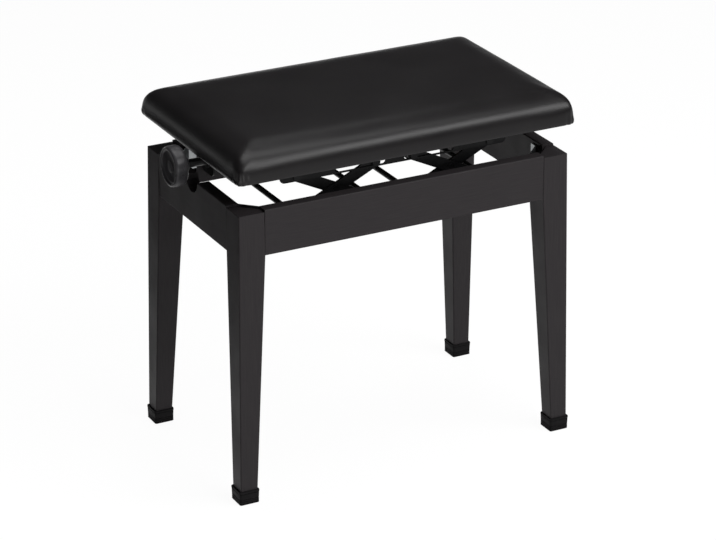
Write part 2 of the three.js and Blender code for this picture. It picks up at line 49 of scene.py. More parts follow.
view_aim = Vector((0.0020, 0, 0.2372))
view_back = Vector((
    math.sin(view_azimuth) * math.cos(view_elevation),
    -math.cos(view_azimuth) * math.cos(view_elevation),
    math.sin(view_elevation),
))
camera_data = bpy.data.cameras.new("camera")
camera_data.sensor_fit = "HORIZONTAL"
camera_data.sensor_width = 36
camera_data.lens = 148.58
camera_data.clip_end = 50
camera = bpy.data.objects.new("camera", camera_data)
camera.location = view_aim + view_distance * view_back
camera.rotation_euler = view_back.to_track_quat("Z", "Y").to_euler()
bpy.context.collection.objects.link(camera)
bpy.context.scene.camera = camera


# Legs: four square beech legs, tapered on their inner faces, primed and sprayed
# with satin black lacquer. The grain runs up the leg and only just shows through.
mm = 0.001


def linear(code):
    """An sRGB hex value as the linear colour that a shader takes."""
    channels = [int(code[i:i + 2], 16) / 255 for i in (1, 3, 5)]
    values = [c / 12.92 if c <= 0.04045 else ((c + 0.055) / 1.055) ** 2.4 for c in channels]
    return (*values, 1)


def fill_in(tree, node, inputs):
    """Gives a node's inputs their values or their links."""
    for key, value in inputs.items():
        if isinstance(value, bpy.types.NodeSocket):
            tree.links.new(value, node.inputs[key])
        else:
            node.inputs[key].default_value = value
    return node


def add_node(tree, kind, settings=None, inputs=None):
    """One node with its settings, and its inputs as values or as links."""
    node = tree.nodes.new(kind)
    for name, value in (settings or {}).items():
        setattr(node, name, value)
    return fill_in(tree, node, inputs or {})


def new_material(name):
    """A material with its tree and its main shader."""
    material = bpy.data.materials.new(name)
    material.use_nodes = True
    tree = material.node_tree
    return material, tree, tree.nodes["Principled BSDF"]


def patches_of(*size):
    """The scale at which a pattern's patches have this size along X, Y and Z."""
    return tuple(1 / length for length in size)


def black_lacquer(name, grain):
    """Satin black polyurethane lacquer, sprayed on sanded beech: a soft sheen with a
    trace of orange peel, faint sunk grain and a hand's smudges in the gloss."""
    material, tree, shader = new_material(name)
    place = add_node(tree, "ShaderNodeTexCoord").outputs["Object"]
    along = add_node(tree, "ShaderNodeMapping", inputs={
        "Vector": place, "Scale": patches_of(*grain)})
    fibres = add_node(tree, "ShaderNodeTexNoise", inputs={
        "Vector": along.outputs["Vector"], "Scale": 1.0, "Detail": 3.0}).outputs["Fac"]
    peel = add_node(tree, "ShaderNodeTexNoise", inputs={
        "Vector": place, "Scale": 1 / (2.2 * mm), "Detail": 2.0}).outputs["Fac"]
    handled = add_node(tree, "ShaderNodeMapping", inputs={
        "Vector": place, "Scale": patches_of(55 * mm, 45 * mm, 60 * mm)})
    smudge = add_node(tree, "ShaderNodeTexNoise", inputs={
        "Vector": handled.outputs["Vector"], "Scale": 1.0, "Detail": 4.0}).outputs["Fac"]
    tone = add_node(tree, "ShaderNodeMapRange", inputs={
        "Value": fibres, "From Min": 0.3, "From Max": 0.7})
    colour = add_node(tree, "ShaderNodeMix", {"data_type": "RGBA"}, {
        0: tone.outputs["Result"], 6: linear("#2e2b2d"), 7: linear("#333031")})
    gloss = add_node(tree, "ShaderNodeMapRange", inputs={
        "Value": smudge, "From Min": 0.3, "From Max": 0.7, "To Min": 0.44, "To Max": 0.56})
    edges = add_node(tree, "ShaderNodeBevel", {"samples": 4}, {"Radius": 0.9 * mm})
    skin = add_node(tree, "ShaderNodeBump", inputs={
        "Height": peel, "Distance": 0.012 * mm, "Strength": 1.0,
        "Normal": edges.outputs["Normal"]})
    surface = add_node(tree, "ShaderNodeBump", inputs={
        "Height": fibres, "Distance": 0.03 * mm, "Strength": 0.6,
        "Normal": skin.outputs["Normal"]})
    fill_in(tree, shader, {
        "Base Color": colour.outputs[2],
        "Roughness": gloss.outputs["Result"],
        "IOR": 1.45,
        "Specular IOR Level": 0.15,
        "Normal": surface.outputs["Normal"],
    })
    return material


def dress(material, *names):
    """Gives CAD nodes a material in each of their slots."""
    for name in names:
        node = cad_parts[name]
        for place in node.material_slots:
            place.material = material


def corners(name):
    """The four names of a piece that stands at each corner."""
    return [f"{name}_{end}_{side}" for end in ("front", "rear") for side in ("left", "right")]


# Fibres are drawn about twice as wide as beech has them, so that they show.
fibre_width = 1.4 * mm
fibre_length = 38 * mm
dress(black_lacquer("lacquer_upright", (fibre_width, fibre_width, fibre_length)), *corners("leg"))


# Aprons: four beech boards between the legs, lacquered as the legs are. The two at
# the sides have a round notch for the spindle. Their grain lies along them.
dress(black_lacquer("lacquer_along", (fibre_length, fibre_width, fibre_width)),
      "apron_front", "apron_rear")
dress(black_lacquer("lacquer_across", (fibre_width, fibre_length, fibre_width)),
      "apron_left", "apron_right")


# Foot caps: moulded black rubber sockets pushed over the leg ends, with three fine
# ribs round the foot and a rounded lip at the top.
def edit(piece, kind="FACE"):
    """Opens a piece in edit mode, to work on its faces, edges or points."""
    bpy.context.view_layer.objects.active = piece
    bpy.ops.object.mode_set(mode="EDIT")
    bpy.ops.mesh.select_mode(type=kind)


def done(piece):
    """Closes edit mode with the piece's normals pointing out."""
    bpy.ops.mesh.select_all(action="SELECT")
    bpy.ops.mesh.remove_doubles(threshold=0.001 * mm)
    bpy.ops.mesh.normals_make_consistent(inside=False)
    bpy.ops.object.mode_set(mode="OBJECT")
    return piece


def deselect():
    """Drops everything that is selected."""
    bpy.ops.object.select_all(action="DESELECT")


def pick_only(piece):
    """Selects one piece alone and makes it the active one, for the next operator."""
    deselect()
    piece.select_set(True)
    bpy.context.view_layer.objects.active = piece


def new_plate(name, half_x, half_y, z, corner, segments=5):
    """A level plate with round corners, open in edit mode with its face picked."""
    deselect()
    bpy.ops.mesh.primitive_plane_add(size=2, location=(0, 0, z))
    piece = bpy.context.object
    piece.name = name
    piece.scale = (half_x, half_y, 1)
    bpy.ops.object.transform_apply(location=True, rotation=True, scale=True)
    edit(piece, "VERT")
    bpy.ops.mesh.select_all(action="SELECT")
    bpy.ops.mesh.bevel(offset=corner, segments=segments, affect="VERTICES")
    bpy.ops.mesh.select_mode(type="FACE")
    bpy.ops.mesh.select_all(action="SELECT")
    return piece


def draw_up(levels, half_x, half_y, z):
    """Pulls the picked face up level by level: each level is an inset and a height."""
    inset = 0
    for next_inset, next_z in levels:
        bpy.ops.mesh.extrude_region_move(TRANSFORM_OT_translate={"value": (0, 0, next_z - z)})
        shrink_x = (half_x - next_inset) / (half_x - inset)
        shrink_y = (half_y - next_inset) / (half_y - inset)
        bpy.ops.transform.resize(
            value=(shrink_x, shrink_y, 1), center_override=(0, 0, next_z))
        inset, z = next_inset, next_z


def move_to(piece, place):
    """Moves a piece's points, and leaves its object at the origin."""
    piece.location = place
    pick_only(piece)
    bpy.ops.object.transform_apply(location=True, rotation=True, scale=True)
    return piece


def copy_of(piece, name):
    """A second piece of the same make, with a mesh of its own."""
    twin = piece.copy()
    twin.data = piece.data.copy()
    twin.name = name
    bpy.context.collection.objects.link(twin)
    return twin


def smooth(piece, angle=35):
    """Smooth shading, with edges sharper than the angle left crisp."""
    pick_only(piece)
    bpy.ops.object.shade_smooth_by_angle(angle=math.radians(angle))
    return piece


def cap_rubber():
    """Moulded EPDM rubber: a deep matt black, greyer where it is scuffed by the
    floor, with the fine spark texture of its mould."""
    material, tree, shader = new_material("cap_rubber")
    place = add_node(tree, "ShaderNodeTexCoord").outputs["Object"]
    texture = add_node(tree, "ShaderNodeTexNoise", inputs={
        "Vector": place, "Scale": 1 / (1.1 * mm), "Detail": 3.0}).outputs["Fac"]
    round_foot = add_node(tree, "ShaderNodeMapping", inputs={
        "Vector": place, "Scale": patches_of(9 * mm, 9 * mm, 3 * mm)})
    scuff = add_node(tree, "ShaderNodeTexNoise", inputs={
        "Vector": round_foot.outputs["Vector"], "Scale": 1.0, "Detail": 4.0}).outputs["Fac"]
    tone = add_node(tree, "ShaderNodeMapRange", inputs={
        "Value": scuff, "From Min": 0.5, "From Max": 0.75})
    colour = add_node(tree, "ShaderNodeMix", {"data_type": "RGBA"}, {
        0: tone.outputs["Result"], 6: linear("#151415"), 7: linear("#1f1e1f")})
    gloss = add_node(tree, "ShaderNodeMapRange", inputs={
        "Value": scuff, "From Min": 0.3, "From Max": 0.7, "To Min": 0.5, "To Max": 0.68})
    surface = add_node(tree, "ShaderNodeBump", inputs={
        "Height": texture, "Distance": 0.03 * mm, "Strength": 1.0})
    fill_in(tree, shader, {
        "Base Color": colour.outputs[2],
        "Roughness": gloss.outputs["Result"],
        "IOR": 1.5,
        "Specular IOR Level": 0.08,
        "Normal": surface.outputs["Normal"],
    })
    return material


cap_low, cap_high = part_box("foot_cap_front_left")
cap_half = (cap_high[0] - cap_low[0]) / 2
cap_top = cap_high[2]
cap_corner = 2.6 * mm
cap_wall = 2.6 * mm
cap_floor = 4 * mm
cap_lip_height = 4.2 * mm
cap_groove = 0.7 * mm
cap_ribs = 3
cap_rib_start = 2 * mm
cap_rib_pitch = 2.6 * mm
cap_draft = 0.5 * mm
cap_edge = 0.6 * mm


def foot_cap():
    """A plate drawn up over three ribs to the lip, and down again inside the socket."""
    start = cap_draft + cap_edge
    piece = new_plate("foot_cap", cap_half - start, cap_half - start, 0, cap_corner)
    flank = -cap_edge
    levels = [(0.6 * flank, 0.3 * cap_edge), (flank, cap_edge)]
    z = cap_rib_start
    for rib in range(cap_ribs):
        levels += [(flank, z), (flank + cap_groove, z + 0.4 * mm),
                   (flank + cap_groove, z + 0.9 * mm), (flank, z + 1.3 * mm)]
        z += cap_rib_pitch
    lip_z = cap_top - cap_lip_height
    lip = -start
    levels += [(lip + 0.25 * mm, lip_z), (lip + 0.75 * mm, lip_z + 0.25 * mm),
               (lip + 0.75 * mm, lip_z + 0.8 * mm), (lip, lip_z + 1.1 * mm),
               (lip, cap_top - 0.8 * mm), (lip + 0.25 * mm, cap_top - 0.25 * mm),
               (lip + 0.8 * mm, cap_top), (lip + cap_wall - 0.5 * mm, cap_top),
               (lip + cap_wall, cap_top - 0.5 * mm), (lip + cap_wall + 0.2 * mm, cap_floor)]
    draw_up(levels, cap_half - start, cap_half - start, 0)
    return smooth(done(piece))


first_cap = foot_cap()
rubber = cap_rubber()
first_cap.data.materials.append(rubber)
for node_name in corners("foot_cap"):
    low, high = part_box(node_name)
    cap = copy_of(first_cap, node_name.removeprefix("foot_"))
    move_to(cap, ((low[0] + high[0]) / 2, (low[1] + high[1]) / 2, 0))
    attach(cap, "stand")
    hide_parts(node_name)
bpy.data.objects.remove(first_cap)


# Corner braces and their bolts: pressed steel, plated with bright zinc, which pull
# the legs into the corners of the aprons. The rail screws have the same finish.
def zinc_plate():
    """Bright zinc on pressed steel: a cool grey metal, cloudy where the passivation
    took unevenly, with fine drawing marks."""
    material, tree, shader = new_material("zinc_plate")
    place = add_node(tree, "ShaderNodeTexCoord").outputs["Object"]
    cloud = add_node(tree, "ShaderNodeTexNoise", inputs={
        "Vector": place, "Scale": 1 / (7 * mm), "Detail": 4.0}).outputs["Fac"]
    drawn = add_node(tree, "ShaderNodeMapping", inputs={
        "Vector": place, "Scale": patches_of(0.7 * mm, 0.7 * mm, 9 * mm)})
    marks = add_node(tree, "ShaderNodeTexNoise", inputs={
        "Vector": drawn.outputs["Vector"], "Scale": 1.0, "Detail": 2.0}).outputs["Fac"]
    tone = add_node(tree, "ShaderNodeMapRange", inputs={
        "Value": cloud, "From Min": 0.3, "From Max": 0.7})
    colour = add_node(tree, "ShaderNodeMix", {"data_type": "RGBA"}, {
        0: tone.outputs["Result"], 6: linear("#8d9092"), 7: linear("#b4b7b8")})
    gloss = add_node(tree, "ShaderNodeMapRange", inputs={
        "Value": cloud, "From Min": 0.3, "From Max": 0.7, "To Min": 0.28, "To Max": 0.46})
    surface = add_node(tree, "ShaderNodeBump", inputs={
        "Height": marks, "Distance": 0.01 * mm, "Strength": 1.0})
    fill_in(tree, shader, {
        "Base Color": colour.outputs[2],
        "Metallic": 1.0,
        "Roughness": gloss.outputs["Result"],
        "Normal": surface.outputs["Normal"],
    })
    return material


zinc = zinc_plate()
dress(zinc, *corners("corner_brace"), *corners("leg_bolt"), *corners("rail_screw"))


# The lift: punched steel channels, flat arms and turned rods, dipped in black paint.
# Its rivets and pivot pins are blackened too, but shinier, where they turn.
def black_steel(name, low, high):
    """Thin black electro-coat on cold-rolled steel: an even semi-gloss, with a slight
    ripple and a few dull patches where oil has dried."""
    material, tree, shader = new_material(name)
    place = add_node(tree, "ShaderNodeTexCoord").outputs["Object"]
    ripple = add_node(tree, "ShaderNodeTexNoise", inputs={
        "Vector": place, "Scale": 1 / (3.5 * mm), "Detail": 2.0}).outputs["Fac"]
    oiled = add_node(tree, "ShaderNodeMapping", inputs={
        "Vector": place, "Scale": patches_of(22 * mm, 22 * mm, 16 * mm)})
    patches = add_node(tree, "ShaderNodeTexNoise", inputs={
        "Vector": oiled.outputs["Vector"], "Scale": 1.0, "Detail": 4.0}).outputs["Fac"]
    tone = add_node(tree, "ShaderNodeMapRange", inputs={
        "Value": patches, "From Min": 0.3, "From Max": 0.7})
    colour = add_node(tree, "ShaderNodeMix", {"data_type": "RGBA"}, {
        0: tone.outputs["Result"], 6: linear("#121213"), 7: linear("#1b1b1c")})
    gloss = add_node(tree, "ShaderNodeMapRange", inputs={
        "Value": patches, "From Min": 0.3, "From Max": 0.7, "To Min": low, "To Max": high})
    edges = add_node(tree, "ShaderNodeBevel", {"samples": 4}, {"Radius": 0.5 * mm})
    surface = add_node(tree, "ShaderNodeBump", inputs={
        "Height": ripple, "Distance": 0.02 * mm, "Strength": 1.0,
        "Normal": edges.outputs["Normal"]})
    fill_in(tree, shader, {
        "Base Color": colour.outputs[2],
        "Roughness": gloss.outputs["Result"],
        "IOR": 1.5,
        "Specular IOR Level": 0.2,
        "Normal": surface.outputs["Normal"],
    })
    return material


painted_steel = black_steel("painted_steel", 0.38, 0.55)
dress(painted_steel, "lower_rail_front", "lower_rail_rear", "outer_rod_left", "outer_rod_right",
      "slide_rod_left", "slide_rod_right", "nut_bar_left", "nut_bar_right", "upper_frame",
      "bearing_bracket_left", "bearing_bracket_right")
blackened_steel = black_steel("blackened_steel", 0.3, 0.42)
dress(blackened_steel, *corners("upper_pin"))
for side in ("left", "right"):
    for end in ("front", "rear"):
        dress(painted_steel, f"lift_arm_{side}_{end}", f"cross_arm_{side}_{end}")
        dress(blackened_steel, f"centre_rivet_{side}_{end}")


# Spindle, collars and bushes: a blackened spindle with a left and a right hand
# thread, kept in place by two steel collars against nylon bushes.
dress(blackened_steel, "spindle", "spindle_collar_left", "spindle_collar_right")


def bush_nylon():
    """Black glass-filled nylon, injection moulded: satin, with pale fibre specks."""
    material, tree, shader = new_material("bush_nylon")
    place = add_node(tree, "ShaderNodeTexCoord").outputs["Object"]
    specks = add_node(tree, "ShaderNodeTexNoise", inputs={
        "Vector": place, "Scale": 1 / (0.6 * mm), "Detail": 3.0}).outputs["Fac"]
    tone = add_node(tree, "ShaderNodeMapRange", inputs={
        "Value": specks, "From Min": 0.55, "From Max": 0.8})
    colour = add_node(tree, "ShaderNodeMix", {"data_type": "RGBA"}, {
        0: tone.outputs["Result"], 6: linear("#1b1b1c"), 7: linear("#3a3a3b")})
    gloss = add_node(tree, "ShaderNodeMapRange", inputs={
        "Value": specks, "From Min": 0.3, "From Max": 0.7, "To Min": 0.45, "To Max": 0.6})
    surface = add_node(tree, "ShaderNodeBump", inputs={
        "Height": specks, "Distance": 0.02 * mm, "Strength": 1.0})
    fill_in(tree, shader, {
        "Base Color": colour.outputs[2],
        "Roughness": gloss.outputs["Result"],
        "IOR": 1.53,
        "Normal": surface.outputs["Normal"],
    })
    return material


dress(bush_nylon(), "bearing_bush_left", "bearing_bush_right")


# Knobs: round handwheels of black ABS at both ends of the spindle, with a dished
# face inside a smooth rounded rim, a small boss in the middle and a hub behind.
def knob_abs():
    """Moulded black ABS: a fairly glossy skin that is a little dulled by hands."""
    material, tree, shader = new_material("knob_abs")
    place = add_node(tree, "ShaderNodeTexCoord").outputs["Object"]
    skin = add_node(tree, "ShaderNodeTexNoise", inputs={
        "Vector": place, "Scale": 1 / (1.3 * mm), "Detail": 3.0}).outputs["Fac"]
    dulled = add_node(tree, "ShaderNodeTexNoise", inputs={
        "Vector": place, "Scale": 1 / (14 * mm), "Detail": 3.0}).outputs["Fac"]
    tone = add_node(tree, "ShaderNodeMapRange", inputs={
        "Value": dulled, "From Min": 0.3, "From Max": 0.7})
    colour = add_node(tree, "ShaderNodeMix", {"data_type": "RGBA"}, {
        0: tone.outputs["Result"], 6: linear("#363537"), 7: linear("#3d3c3e")})
    gloss = add_node(tree, "ShaderNodeMapRange", inputs={
        "Value": dulled, "From Min": 0.3, "From Max": 0.7, "To Min": 0.26, "To Max": 0.36})
    surface = add_node(tree, "ShaderNodeBump", inputs={
        "Height": skin, "Distance": 0.012 * mm, "Strength": 1.0})
    fill_in(tree, shader, {
        "Base Color": colour.outputs[2],
        "Roughness": gloss.outputs["Result"],
        "IOR": 1.53,
        "Specular IOR Level": 0.18,
        "Normal": surface.outputs["Normal"],
    })
    return material


abs_plastic = knob_abs()
knob_low, knob_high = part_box("knob_right")
knob_face = knob_high[0]
knob_axis_z = (knob_low[2] + knob_high[2]) / 2
# Each pair is a radius and a distance from the face inwards, in millimetres, from the
# hub to the boss.
knob_profile = [
    (6.3, 27), (10.2, 27), (11, 26.3), (11, 19.8), (11.8, 19), (23.2, 19), (25.6, 18.6),
    (27.2, 17.3), (27.9, 15.5), (28, 13.5), (28, 4.6), (27.9, 3.2), (27.4, 1.7), (26.5, 0.6),
    (25.5, 0.1), (24.8, 0), (24.1, 0.2), (23.5, 0.8), (23.1, 1.8), (22.4, 2.7), (21, 3.1),
    (16, 3.5), (9, 3.9), (8.4, 3.8), (8, 3.2), (7.3, 2.9), (3, 2.7),
]


def knob():
    """A disc pulled out along its axis and drawn in and out, then closed at its face."""
    deselect()
    radius, depth = knob_profile[0]
    bpy.ops.mesh.primitive_circle_add(
        vertices=64, radius=radius * mm, fill_type="NGON", location=(0, 0, -depth * mm))
    piece = bpy.context.object
    bpy.ops.object.transform_apply(location=True, rotation=True, scale=True)
    edit(piece)
    bpy.ops.mesh.select_all(action="SELECT")
    for next_radius, next_depth in knob_profile[1:]:
        bpy.ops.mesh.extrude_region_move(
            TRANSFORM_OT_translate={"value": (0, 0, (depth - next_depth) * mm)})
        share = next_radius / radius
        bpy.ops.transform.resize(
            value=(share, share, 1), center_override=(0, 0, -next_depth * mm))
        radius, depth = next_radius, next_depth
    return smooth(done(piece), 40)


first_knob = knob()
first_knob.data.materials.append(abs_plastic)
for side, turn in (("left", -1), ("right", 1)):
    wheel = copy_of(first_knob, f"handwheel_{side}")
    wheel.rotation_euler = (0, turn * math.pi / 2, 0)
    move_to(wheel, (turn * knob_face, 0, knob_axis_z))
    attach(wheel, "spindle_assembly")
    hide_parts(f"knob_{side}")
bpy.data.objects.remove(first_knob)


# Seat board: twelve millimetre plywood, cut to a rectangle and stained dark. The lift's
# frame is fixed below it, and the cover is stapled to its underside.
def stained_plywood():
    """Birch plywood with a thin dark stain: long rotary grain and small dark knots."""
    material, tree, shader = new_material("stained_plywood")
    place = add_node(tree, "ShaderNodeTexCoord").outputs["Object"]
    rotary = add_node(tree, "ShaderNodeMapping", inputs={
        "Vector": place, "Scale": patches_of(60 * mm, 2.2 * mm, 2.2 * mm)})
    grain = add_node(tree, "ShaderNodeTexNoise", inputs={
        "Vector": rotary.outputs["Vector"], "Scale": 1.0, "Detail": 5.0}).outputs["Fac"]
    broad = add_node(tree, "ShaderNodeMapping", inputs={
        "Vector": place, "Scale": patches_of(140 * mm, 26 * mm, 26 * mm)})
    figure = add_node(tree, "ShaderNodeTexNoise", inputs={
        "Vector": broad.outputs["Vector"], "Scale": 1.0, "Detail": 4.0}).outputs["Fac"]
    shade = add_node(tree, "ShaderNodeMath", {"operation": "MULTIPLY"}, {0: grain, 1: figure})
    tone = add_node(tree, "ShaderNodeMapRange", inputs={
        "Value": shade.outputs[0], "From Min": 0.12, "From Max": 0.4})
    colour = add_node(tree, "ShaderNodeMix", {"data_type": "RGBA"}, {
        0: tone.outputs["Result"], 6: linear("#2a1e15"), 7: linear("#5a4230")})
    gloss = add_node(tree, "ShaderNodeMapRange", inputs={
        "Value": grain, "From Min": 0.3, "From Max": 0.7, "To Min": 0.7, "To Max": 0.85})
    surface = add_node(tree, "ShaderNodeBump", inputs={
        "Height": grain, "Distance": 0.08 * mm, "Strength": 1.0})
    fill_in(tree, shader, {
        "Base Color": colour.outputs[2],
        "Roughness": gloss.outputs["Result"],
        "Normal": surface.outputs["Normal"],
    })
    return material


dress(stained_plywood(), "seat_board")


# Padded seat: a foam pad under black leatherette, pulled over the board's edge and
# stapled below. Its sides stand straight, a soft roll runs round the top, and the
# cover is folded into pleats at each corner.
def black_leatherette():
    """PVC leatherette: a satin black skin over knitted cloth, with a fine pebbled
    grain, and slow waves in its gloss where the foam pushes it out."""
    material, tree, shader = new_material("black_leatherette")
    place = add_node(tree, "ShaderNodeTexCoord").outputs["Object"]
    # Real pebbles are half a millimetre wide; they are drawn at 1.1 so that they show.
    pebbles = add_node(tree, "ShaderNodeTexVoronoi", {"feature": "SMOOTH_F1"}, {
        "Vector": place, "Scale": 1 / (1.1 * mm), "Smoothness": 0.6})
    creases = add_node(tree, "ShaderNodeTexNoise", inputs={
        "Vector": place, "Scale": 1 / (1.9 * mm), "Detail": 4.0}).outputs["Fac"]
    waved = add_node(tree, "ShaderNodeMapping", inputs={
        "Vector": place, "Scale": patches_of(70 * mm, 70 * mm, 40 * mm)})
    slow = add_node(tree, "ShaderNodeTexNoise", inputs={
        "Vector": waved.outputs["Vector"], "Scale": 1.0, "Detail": 3.0}).outputs["Fac"]
    tone = add_node(tree, "ShaderNodeMapRange", inputs={
        "Value": slow, "From Min": 0.3, "From Max": 0.7})
    colour = add_node(tree, "ShaderNodeMix", {"data_type": "RGBA"}, {
        0: tone.outputs["Result"], 6: linear("#131112"), 7: linear("#171516")})
    gloss = add_node(tree, "ShaderNodeMapRange", inputs={
        "Value": slow, "From Min": 0.3, "From Max": 0.7, "To Min": 0.33, "To Max": 0.38})
    skin = add_node(tree, "ShaderNodeBump", inputs={
        "Height": creases, "Distance": 0.03 * mm, "Strength": 1.0})
    surface = add_node(tree, "ShaderNodeBump", inputs={
        "Height": pebbles.outputs["Distance"], "Distance": 0.035 * mm, "Strength": 0.5,
        "Normal": skin.outputs["Normal"]})
    fill_in(tree, shader, {
        "Base Color": colour.outputs[2],
        "Roughness": gloss.outputs["Result"],
        "IOR": 1.5,
        "Specular IOR Level": 0.25,
        "Normal": surface.outputs["Normal"],
    })
    return material


leatherette = black_leatherette()
pad_low, pad_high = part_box("seat_cushion")
# The cover is a little longer than the board's foam, and reaches below the board.
pad_extra_length = 2.5 * mm
pad_hem = 3 * mm
pad_half_x = pad_high[0] + pad_extra_length
pad_half_y = pad_high[1]
pad_floor = pad_low[2] - pad_hem
pad_top = pad_high[2]
board_low, board_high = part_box("seat_board")
pad_corner = 10 * mm
pad_side = 15.5 * mm
pad_shoulder = 25 * mm
pad_shoulder_width = 11 * mm
pad_crown = pad_top - pad_low[2] - pad_side - pad_shoulder
pad_swell = 1.0 * mm
# A narrow strip along the middle of the top is flat.
pad_strip = 12 * mm
# How far each end's and the back's roll is pulled tight, and how soon that fades.
roll_hold = {"left": 0.3, "right": 0.75, "back": 0.45}
roll_fade = 25 * mm
right_lift = 7 * mm
right_lift_fade = 9 * mm


def pad_height(inset):
    """How high the pad's top is above its board, this far in from its outside."""
    shoulder = pad_shoulder * (1 - math.exp(-inset / pad_shoulder_width))
    return pad_side + shoulder + pad_crown * math.sin(inset / pad_half_y * math.pi / 2)


def pulled_tight(inset, side):
    """How far in a point of the roll stands once its side is pulled tight."""
    return inset * (1 - roll_hold[side] * math.exp(-inset / roll_fade))


def seat_pad():
    """The pad before it is filled, a little smaller than it will be."""
    hem_round = 2.2 * mm
    start_x = pad_half_x - pad_swell - hem_round
    start_y = pad_half_y - pad_swell - hem_round
    piece = new_plate("seat_pad", start_x, start_y, pad_floor, pad_corner - hem_round, 6)
    board_z = pad_low[2]
    # The side has a small round at its hem and then stands straight up to the roll. The
    # steps over the roll are fine at its edge, where it bends most, and widen inwards.
    levels = [(-1.6 * mm, pad_floor + 0.2 * mm), (-2.1 * mm, pad_floor + 0.9 * mm),
              (-2.2 * mm, board_z + 2 * mm), (-2.2 * mm, board_z + 7 * mm),
              (-2.2 * mm, board_z + 12 * mm), (-2.1 * mm, board_z + 14 * mm)]
    inset = 0.35 * mm
    while inset < pad_half_y - pad_strip - 4 * mm:
        levels.append((inset - hem_round, board_z + pad_height(inset) - pad_swell))
        inset = inset * 1.28 + 0.6 * mm
    levels.append((pad_half_y - pad_strip - hem_round, pad_top - pad_swell))
    draw_up(levels, start_x, start_y, pad_floor)
    done(piece)
    # The roll is widest at the front, and the right end also stands a little taller.
    outside_x = pad_half_x - pad_swell
    outside_y = pad_half_y - pad_swell
    for vertex in piece.data.vertices:
        if vertex.co.z < board_z + pad_side - pad_swell:
            continue
        inset = max(0, outside_x - abs(vertex.co.x))
        tighter = pulled_tight(inset, "right" if vertex.co.x > 0 else "left")
        vertex.co.x = math.copysign(outside_x - tighter, vertex.co.x)
        if vertex.co.x > 0:
            vertex.co.z += right_lift * math.exp(-tighter / right_lift_fade)
        if vertex.co.y > 0:
            inset = max(0, outside_y - vertex.co.y)
            vertex.co.y = outside_y - pulled_tight(inset, "back")
    return piece


def fill_with_foam(piece):
    """Blows the cover up like a pad under tension, held at its hem."""
    pick_only(piece)
    remesh = piece.modifiers.new("remesh", "REMESH")
    remesh.mode = "VOXEL"
    remesh.voxel_size = 4 * mm
    bpy.ops.object.modifier_apply(modifier="remesh")
    hem_height = 4 * mm
    last_frame = 20
    hem = piece.vertex_groups.new(name="hem")
    low_points = [v.index for v in piece.data.vertices if v.co.z < pad_floor + hem_height]
    hem.add(low_points, 1, "REPLACE")
    before = [(v.co.copy(), v.normal.copy()) for v in piece.data.vertices]
    cloth = piece.modifiers.new("cloth", "CLOTH")
    cloth.settings.use_pressure = True
    cloth.settings.uniform_pressure_force = 4
    cloth.settings.vertex_group_mass = "hem"
    cloth.settings.effector_weights.gravity = 0
    cloth.point_cache.frame_start = 1
    cloth.point_cache.frame_end = last_frame
    for step in range(1, last_frame + 1):
        bpy.context.scene.frame_set(step)
    bpy.ops.object.modifier_apply(modifier="cloth")
    bpy.context.scene.frame_set(1)
    # Foam gives little, so the cover bulges by up to two millimetres and barely sinks in.
    reach = 2 * mm
    firmness = 0.9
    for vertex, (start, outward) in zip(piece.data.vertices, before):
        move = vertex.co - start
        sink = min(0, move.dot(outward))
        move -= firmness * sink * outward
        vertex.co = start + move * min(1, reach / max(move.length, reach / 100))


def smooth_cover(piece):
    """Evens out the voxel steps, doubles the cover's points, and stretches it by the
    few percent that it shrank, so that it fits the board again."""
    pick_only(piece)
    soft_from = pad_floor + 7 * mm
    soft = piece.vertex_groups.new(name="soft")
    soft.add([v.index for v in piece.data.vertices if v.co.z > soft_from], 1, "REPLACE")
    relax = piece.modifiers.new("relax", "CORRECTIVE_SMOOTH")
    relax.iterations = 10
    relax.use_only_smooth = True
    relax.vertex_group = "soft"
    bpy.ops.object.modifier_apply(modifier="relax")
    finer = piece.modifiers.new("finer", "SUBSURF")
    finer.levels = finer.render_levels = 1
    bpy.ops.object.modifier_apply(modifier="finer")
    points = piece.data.vertices
    wanted = ((-pad_half_x, pad_half_x), (-pad_half_y, pad_half_y), (pad_floor, pad_top))
    for axis, (low, high) in enumerate(wanted):
        places = [v.co[axis] for v in points]
        first = min(places)
        share = (high - low) / (max(places) - first)
        for vertex, place in zip(points, places):
            vertex.co[axis] = low + (place - first) * share


# Each pleat has a place along the seat's edge from the corner, a depth and a height,
# in millimetres.
pleats = [(-13.5, 0.9, 17), (-4.8, 1.5, 27), (4.6, 1.3, 24), (13, 1.0, 19)]
pleat_width = 1.9 * mm
# They stay on the outer face, near enough to the corner and below the roll.
outer_face = 6 * mm
pleats_reach = 14 * mm
pleats_end = 30 * mm
waver_start = 12 * mm
waver_height = 0.35 * mm


